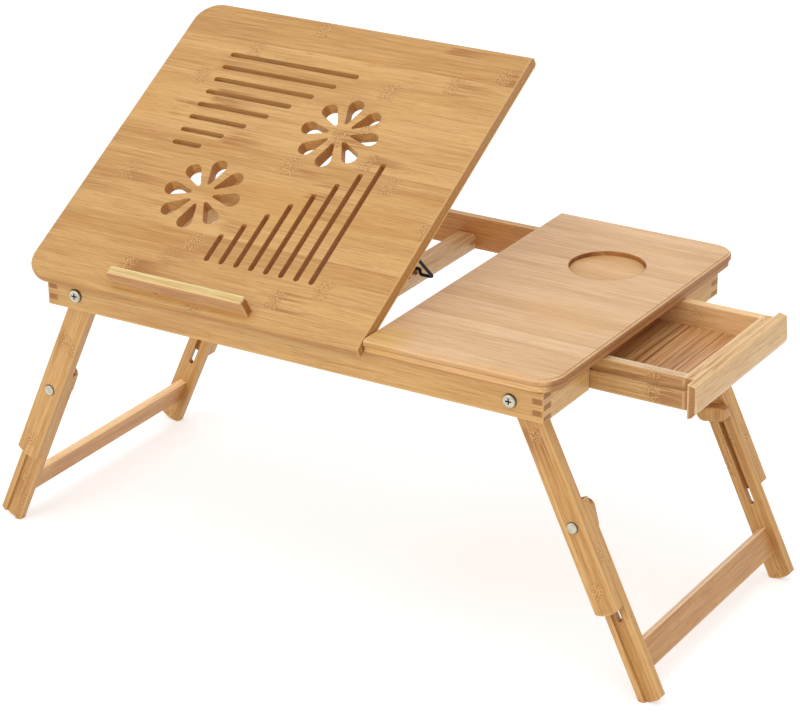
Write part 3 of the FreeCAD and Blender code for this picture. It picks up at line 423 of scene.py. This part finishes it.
def top_marks(net, place, color):
    """The cup recess has thicker lacquer and a scorched ring; lacquer has run at one corner too."""
    point = place["Object"]
    x, y, height = net.split(point)
    aside = net.math("SUBTRACT", x, CUP_AT[0])
    beyond = net.math("SUBTRACT", y, CUP_AT[1])
    away = net.math("SQRT", net.total(net.times(aside, aside), net.times(beyond, beyond)))
    inside = net.smooth(away, CUP_ROUND - 0.0012, CUP_ROUND - 0.0004, 0.8, 0.0)
    off_ring = net.math("ABSOLUTE", net.math("SUBTRACT", away, CUP_ROUND))
    patch = net.noise(point, SCORCH_SCALE)
    ring = net.times(net.smooth(off_ring, 0.0003, 0.0011, 1.0, 0.0), net.smooth(patch, 0.25, 0.6, 0.45, 0.9))
    color = net.mix(inside, color, net.tint(color, CUP_LACQUER))
    color = net.mix(ring, color, net.tint(color, SCORCH))
    run = net.vector("DISTANCE", point, LACQUER_RUN)
    color = net.mix(net.smooth(run, 0.008, 0.034, 0.8, 0.0), color, net.tint(color, THICK_LACQUER))
    return moulded_edge(net, place["Normal"], height, color)


def moulded_edge(net, facing, height, color):
    """The moulding: a painted highlight on its lip, a lighter band, and painted shade in the crease between
    them and at the foot.
    """
    side = net.smooth(net.math("ABSOLUTE", net.split(facing)[2]), 0.3, 0.8, 1.0, 0.0)
    band = net.times(side, net.smooth(height, BAND_TOP - 0.0012, BAND_TOP - 0.0004, 0.8, 0.0))
    off_crease = net.math("ABSOLUTE", net.math("SUBTRACT", height, BAND_TOP))
    crease = net.smooth(off_crease, 0.0003, 0.0010, 0.8, 0.0)
    foot = net.smooth(height, BAND_FOOT, BAND_FOOT + 0.0009, 0.6, 0.0)
    color = net.mix(band, color, net.tint(color, PALE_BAND))
    # Painted highlight on the rounded lip.
    lip = net.times(side, net.smooth(height, FIELD_FOOT - 0.0002, FIELD_FOOT))
    color = net.mix(lip, color, net.tint(color, LIP_HIGHLIGHT))
    # Painted shade in the crease and at the foot above the rail.
    shade_mask = net.times(side, net.math("MAXIMUM", crease, foot))
    return net.mix(shade_mask, color, net.tint(color, CREASE_SHADE))


def shaded_inside(net, place, color):
    """The side that looks forward into the frame is painted darker and redder, as painted shade."""
    inward = net.smooth(net.vector("DOT_PRODUCT", place["Normal"], tuple(-BACKWARD)), 0.5, 0.9)
    return net.mix(inward, color, net.tint(color, INSIDE_SHADE))


def pressed_stripes(net, place, color):
    """The thin bottom board is pressed from narrow sticks with a dark line at most of their joints."""
    lines = net.noise(place["Object"], STICK_LINE_SCALE, 2.0, 0.6)
    bands = net.noise(place["Object"], STICK_BAND_SCALE, 1.0)
    color = net.mix(net.smooth(bands, 0.35, 0.62, 0.7, 0.0), color, net.tint(color, BROWN_STICK))
    return net.mix(net.smooth(lines, 0.49, 0.58, 0.0, 0.85), color, net.tint(color, STICK_JOINT))


def lit_top_accent(shares):
    """Makes an accent: painted light on the upper side, whose colour is these shares of the lacquered
    face's.
    """
    def accent(net, place, color):
        up = net.smooth(net.vector("DOT_PRODUCT", place["Normal"], tuple(UPWARD)), 0.55, 0.85, 0.0, 0.8)
        return net.mix(up, color, net.tint(color, shares))
    return accent


def paler_cuts(net, place, color):
    """The walls of the panel's slots and vents are routed clean and paler than its outer edges."""
    axes = (SIDEWAYS, UP_PANEL, SIDEWAYS.cross(UP_PANEL))
    middle, half = local_box("tilt_panel", Matrix(axes))
    from_edge = []
    for axis, centre, reach in zip(axes[:2], middle, half):
        spot = net.vector("DOT_PRODUCT", place["Object"], tuple(axis))
        from_middle = net.math("ABSOLUTE", net.math("SUBTRACT", spot, centre))
        from_edge.append(net.math("SUBTRACT", reach, from_middle))
    inner = net.smooth(net.math("MINIMUM", *from_edge), EDGE_KEPT, EDGE_KEPT + 0.004)
    facing = net.math("ABSOLUTE", net.vector("DOT_PRODUCT", place["Normal"], tuple(axes[2])))
    wall = net.times(inner, net.smooth(facing, 0.20, 0.70, 1.0, 0.0))
    sideways = net.math("ABSOLUTE", net.vector("DOT_PRODUCT", place["Normal"], tuple(SIDEWAYS)))
    routed = net.mix(net.smooth(sideways, 0.2, 0.8), net.tint(color, ROUTED_ALONG),
                     net.tint(color, ROUTED_ACROSS))
    return net.mix(wall, color, routed)


def plies_at_end(net, place, color):
    """The panel's two sawn sides are lacquered and show paler and darker plies."""
    low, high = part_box("tilt_panel")
    x = net.split(place["Object"])[0]
    from_side = net.math("MINIMUM", net.math("SUBTRACT", x, low[0]), net.math("SUBTRACT", high[0], x))
    facing = net.math("ABSOLUTE", net.vector("DOT_PRODUCT", place["Normal"], tuple(SIDEWAYS)))
    sawn = net.smooth(facing, 0.6, 0.9)
    depth = net.vector("DOT_PRODUCT", place["Object"], tuple(SIDEWAYS.cross(UP_PANEL)))
    plies = net.noise(net.join(depth, 0.0, 0.0), PLY_SCALE, 1.0)
    ply = net.mix(net.smooth(plies, 0.40, 0.58), net.tint(color, DEEP_PLY), net.tint(color, PALE_PLY))
    return net.mix(net.times(sawn, net.smooth(from_side, 0.001, 0.003, 0.85, 0.0)), color, ply)


def panel_walls(net, place, color):
    """The panel's accent: its slots and vents, then its sawn sides."""
    return plies_at_end(net, place, paler_cuts(net, place, color))


# ----------------------------------------------- tones of the boards, and the boards

PANEL = (0.600, 0.339, 0.113)
LEDGE = (0.590, 0.302, 0.096)
FIXED = (0.720, 0.445, 0.215)
RAIL = (0.700, 0.410, 0.143)
RACK = (0.790, 0.530, 0.260)
DRAWER = (0.610, 0.345, 0.125)
FACE = (0.760, 0.485, 0.220)
# The drawer's far side is a lighter copy of its near side's tone: painted light on its shaded inner face.
DRAWER_SIDE_LIT = (0.860, 0.560, 0.260)
BOTTOM = (0.760, 0.445, 0.200)
LEG = (0.660, 0.365, 0.122)
# The two stretchers are lit and shaded copies of one tone: painted light on the left one, painted shade on
# the right one.
SHADED_RIGHT_STRETCHER = (0.630, 0.342, 0.137)
LIT_LEFT_STRETCHER = (0.730, 0.385, 0.142)

bamboo("tilt_panel", SIDEWAYS, UP_PANEL, PANEL, strip=0.0206, streak=0.85, walls=0.9,
       accent=panel_walls)
bamboo("ledge_bar", SIDEWAYS, UP_PANEL, LEDGE, strip=0.03, wear_and_highlight=0.9,
       accent=lit_top_accent(LEDGE_TOP_LIGHT))
bamboo("fixed_top", SIDEWAYS, BACKWARD, FIXED, strip=0.0206, knots=0.15, streak=0.75, walls=0.6,
       accent=top_marks)
bamboo("front_rail", SIDEWAYS, UPWARD, RAIL, strip=0.04, streak=0.8)
bamboo("back_rail", SIDEWAYS, UPWARD, RAIL, strip=0.04, accent=shaded_inside)
bamboo("left_rail", BACKWARD, UPWARD, RAIL, strip=0.04)
bamboo("right_stub_front", BACKWARD, UPWARD, RAIL, strip=0.04)
bamboo("right_stub_back", BACKWARD, UPWARD, RAIL, strip=0.04)
bamboo("rack_rail", BACKWARD, SIDEWAYS, RACK, strip=0.024)
for end in ("front", "back"):
    bamboo("drawer_runner_" + end, SIDEWAYS, UPWARD, RAIL, strip=0.02)
bamboo("drawer_side_front", SIDEWAYS, UPWARD, DRAWER, strip=0.032, streak=1.4, wear_and_highlight=0.7,
       accent=lit_top_accent(DRAWER_TOP_LIGHT))
bamboo("drawer_side_back", SIDEWAYS, UPWARD, DRAWER_SIDE_LIT, strip=0.032, streak=0.8, knots=0.5, wear_and_highlight=0.7)
for name in ("drawer_front_wall", "drawer_tail_wall"):
    bamboo(name, BACKWARD, UPWARD, FACE, strip=0.032)
bamboo("drawer_face_board", BACKWARD, UPWARD, FACE, strip=0.032, wear_and_highlight=0.8)
bamboo("drawer_bottom", BACKWARD, SIDEWAYS, BOTTOM, strip=0.0042, knots=0.0, accent=pressed_stripes)
for side, down, streak, tone in (("right", DOWN_RIGHT_LEG, 1.3, SHADED_RIGHT_STRETCHER),
                                 ("left", DOWN_LEFT_LEG, 0.8, LIT_LEFT_STRETCHER)):
    across = BACKWARD.cross(down)
    bamboo("stretcher_" + side, BACKWARD, across, tone, strip=0.032, streak=0.8, knots=0.5, wear_and_highlight=0.8,
           accent=lit_top_accent(STRETCHER_TOP_LIGHT))
    for end in ("front", "back"):
        bamboo("upper_leg_%s_%s" % (side, end), down, across, LEG, strip=0.011, streak=streak, wear_and_highlight=0.8)
        bamboo("lower_leg_%s_%s" % (side, end), down, across, LEG, strip=0.011, streak=streak, wear_and_highlight=0.8)
        bamboo("knob_%s_%s" % (side, end), UPWARD, SIDEWAYS, LEG, strip=0.009, knots=0.0)


# ------------------------------------------------------------------- metals

NICKEL = (0.60, 0.555, 0.44)
BRASS = (0.66, 0.50, 0.24)
NICKEL_SCALE = (2400.0, 700.0, 700.0)
BRASS_SCALE = (300.0, 2600.0, 2600.0)
CLOUD_SCALE = (160.0, 160.0, 160.0)
RUB_SCALE = (420.0, 420.0, 420.0)
HEAD_SHADE = (0.030, 0.024, 0.018, 1)
DULL_SHARE = 0.68
BRIGHT_SHARE = 1.25
FINE_BUMP_HIGH = 0.0001

# Heads of the screws and bolts: their radius, the radius where the painted shade round the head starts, and
# the pivot screws'
# cross: how far out its floor lies and how far from the middle it reaches.
PIVOT_HEAD = 0.0065
PIVOT_RIM = 0.0061
CROSS_FLOOR = 0.16502
CROSS_REACH = 0.0035
BOLT_HEAD = 0.0055
BOLT_RIM = 0.0049


def metal(material_name, members, base, rough, scale, head=None):
    """Plated metal: fine brushed lines, cloudy plating, rubbed spots, and painted shade round a screw's
    head.
    """
    material, net, shader = new_material(material_name)
    point = net.add("ShaderNodeTexCoord").outputs["Object"]
    cloud = net.noise(point, CLOUD_SCALE, 3.0)
    lines = net.noise(point, scale, 2.0, 0.6)
    rubbed = net.smooth(net.noise(point, RUB_SCALE, 3.0, 0.65), 0.56, 0.68)
    dark = (*[part * DULL_SHARE for part in base], 1)
    bright = (*[min(part * BRIGHT_SHARE, 1.0) for part in base], 1)
    color = net.mix(net.smooth(cloud, 0.3, 0.7), dark, (*base, 1))
    color = net.mix(net.times(rubbed, 0.5), color, bright)
    if head:
        # Painted shade round the head's rim and in its cross.
        color = net.mix(head_shade(net, point, cloud, *head), color, HEAD_SHADE)
    net.put(shader.inputs["Base Color"], color)
    net.put(shader.inputs["Roughness"], net.total(rough, net.sway(cloud, 0.12), net.sway(lines, 0.14),
                                                  net.times(rubbed, 0.08)))
    add_bump(net, shader, net.total(lines, net.times(rubbed, -0.5)), 0.25, FINE_BUMP_HIGH)
    shader.inputs["Metallic"].default_value = 1.0
    for member in members:
        wear_material(member, material)


def head_shade(net, point, cloud, out, high, rim, cross_floor, cross_reach):
    """Painted shade round the rim of the heads whose axes lie along Y, and in the cross cut into them."""
    x, y, z = net.split(point)
    aside = net.math("SUBTRACT", net.math("ABSOLUTE", x), out)
    above = net.math("SUBTRACT", z, high)
    away = net.math("SQRT", net.total(net.times(aside, aside), net.times(above, above)))
    away = net.total(away, net.sway(cloud, 0.0006))
    ring = net.smooth(away, rim - 0.0005, rim + 0.0004, 0.0, 0.8)
    deep = net.math("LESS_THAN", net.math("ABSOLUTE", y), cross_floor)
    cross = net.times(deep, net.math("LESS_THAN", away, cross_reach))
    return net.math("MAXIMUM", ring, cross)


def axis_of(node, radius):
    """How far out and how high the axis along Y of a node's heads lies."""
    low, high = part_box(node)
    return max(abs(low[0]), abs(high[0])) - radius, (low[2] + high[2]) / 2


metal("zinc_steel", ("pivot_washers",), NICKEL, rough=0.34, scale=NICKEL_SCALE)
metal("zinc_pivot_screws", ("pivot_screws",), NICKEL, rough=0.30, scale=NICKEL_SCALE,
      head=(*axis_of("pivot_screws", PIVOT_HEAD), PIVOT_RIM, CROSS_FLOOR, CROSS_REACH))
for side in ("right", "left"):
    node = "leg_bolts_" + side
    metal("zinc_bolts_" + side, (node,), NICKEL, rough=0.26, scale=NICKEL_SCALE,
          head=(*axis_of(node, BOLT_HEAD), BOLT_RIM, 0.0, 0.0))
metal("brass_plate",
      ("frame_leaf_left", "frame_leaf_right", "panel_leaf_left", "panel_leaf_right", "hinge_pins",
       "frame_leaf_screws", "panel_leaf_screws", "prop_clip_left", "prop_clip_right", "prop_clip_screws"),
      BRASS, rough=0.34, scale=BRASS_SCALE)


ENAMEL = (0.008, 0.008, 0.009, 1)
ENAMEL_PALER = (0.016, 0.015, 0.015, 1)
ENAMEL_WORN = (0.050, 0.046, 0.042, 1)
RIPPLE_SCALE = (700.0, 700.0, 700.0)
WORN_SCALE = (260.0, 260.0, 260.0)


def black_wire():
    """Baked black enamel with a slight ripple, worn greyer in spots."""
    material, net, shader = new_material("black_wire")
    point = net.add("ShaderNodeTexCoord").outputs["Object"]
    ripple = net.noise(point, RIPPLE_SCALE)
    worn = net.smooth(net.noise(point, WORN_SCALE, 3.0, 0.65), 0.58, 0.70, 0.0, 0.6)
    coat = net.mix(ripple, ENAMEL, ENAMEL_PALER)
    net.put(shader.inputs["Base Color"], net.mix(worn, coat, ENAMEL_WORN))
    net.put(shader.inputs["Roughness"], net.total(0.50, net.sway(ripple, 0.16), net.times(worn, 0.15)))
    add_bump(net, shader, ripple, 0.3, FINE_BUMP_HIGH)
    shader.inputs["Specular IOR Level"].default_value = 0.15
    wear_material("prop_wire", material)


black_wire()


# ----------------------------------------------------------- floor and backdrop

def seen_directly(net):
    """1 for camera, mirror and glass rays."""
    path = net.add("ShaderNodeLightPath").outputs
    seen = net.math("MAXIMUM", path["Is Camera Ray"], path["Is Glossy Ray"])
    return net.math("MAXIMUM", seen, path["Is Transmission Ray"])


FLOOR_REACH = 6.0
FLOOR_GLOW = 0.42
FLOOR_DARK = (0.80, 0.80, 0.80, 1)
FLOOR_PALE = (0.84, 0.84, 0.84, 1)
PAPER_SCALE = (3.0, 3.0, 3.0)
SKY = 0.82
WHITE = (1.0, 1.0, 1.0, 1)
LAMPS_AIM = Vector((0, 0, 0.25))


def floor():
    """A pale matte floor that glows a little where the camera sees it and still shows the shadow."""
    mesh = bpy.data.meshes.new("floor")
    corners = [(x * FLOOR_REACH, y * FLOOR_REACH, 0) for x, y in ((-1, -1), (1, -1), (1, 1), (-1, 1))]
    mesh.from_pydata(corners, [], [(0, 1, 2, 3)])
    ground = bpy.data.objects.new("floor", mesh)
    bpy.context.scene.collection.objects.link(ground)
    material = bpy.data.materials.new("pale_floor")
    material.use_nodes = True
    material.node_tree.nodes.clear()
    net = Net(material.node_tree)
    paper = net.noise(net.add("ShaderNodeTexCoord").outputs["Object"], PAPER_SCALE, 3.0)
    matte = net.add("ShaderNodeBsdfDiffuse")
    net.put(matte.inputs["Color"], net.mix(paper, FLOOR_DARK, FLOOR_PALE))
    glow = net.add("ShaderNodeEmission")
    net.put(glow.inputs["Strength"], net.times(seen_directly(net), FLOOR_GLOW))
    both = net.add("ShaderNodeAddShader")
    net.put(both.inputs[0], matte.outputs[0])
    net.put(both.inputs[1], glow.outputs[0])
    out = net.add("ShaderNodeOutputMaterial")
    net.put(out.inputs["Surface"], both.outputs[0])
    mesh.materials.append(material)


def surroundings():
    """A white studio: it lights the object with SKY and looks plain white."""
    world = bpy.data.worlds.new("studio")
    bpy.context.scene.world = world
    world.use_nodes = True
    world.node_tree.nodes.clear()
    net = Net(world.node_tree)
    either = net.add("ShaderNodeMixShader")
    net.put(either.inputs[0], seen_directly(net))
    for socket, strength in ((1, SKY), (2, 1.0)):
        shade = net.add("ShaderNodeBackground")
        shade.inputs["Color"].default_value = WHITE
        shade.inputs["Strength"].default_value = strength
        net.put(either.inputs[socket], shade.outputs[0])
    out = net.add("ShaderNodeOutputWorld")
    net.put(out.inputs["Surface"], either.outputs[0])


def softbox(name, place, size, power):
    """A square lamp that looks at the middle of the stand."""
    light = bpy.data.lights.new(name, "AREA")
    light.shape = "SQUARE"
    light.size = size
    light.energy = power
    lamp = bpy.data.objects.new(name, light)
    lamp.location = place
    lamp.rotation_euler = (LAMPS_AIM - Vector(place)).to_track_quat("-Z", "Y").to_euler()
    bpy.context.scene.collection.objects.link(lamp)


floor()
surroundings()
softbox("key", place=(0.3, -0.7, 2.7), size=1.8, power=14)
softbox("front", place=(-0.9, -2.7, 1.4), size=1.6, power=15)


# ------------------------------------------------------------------- camera

# Solved from the photograph's corners; lengths in metres, the focal length in its pixels.
CAMERA_PLACE = Vector((1.298103, -2.020823, 1.254770))
CAMERA_AHEAD = Vector((-0.489984, 0.773097, -0.402786))
CAMERA_ROLL = math.radians(-0.9176)
FOCAL_PIXELS = 2831.1
IMAGE_WIDE = 800
SENSOR = 36.0
NEAREST = 0.05
FARTHEST = 50.0

lens = bpy.data.cameras.new("camera")
lens.sensor_fit = "HORIZONTAL"
lens.sensor_width = SENSOR
lens.lens = FOCAL_PIXELS * SENSOR / IMAGE_WIDE
lens.clip_start = NEAREST
lens.clip_end = FARTHEST
camera = bpy.data.objects.new("camera", lens)
aim = CAMERA_AHEAD.to_track_quat("-Z", "Y").to_matrix() @ Matrix.Rotation(CAMERA_ROLL, 3, "Z")
camera.matrix_world = Matrix.Translation(CAMERA_PLACE) @ aim.to_4x4()
bpy.context.scene.collection.objects.link(camera)
bpy.context.scene.camera = camera

bpy.context.scene.view_settings.view_transform = "Standard"
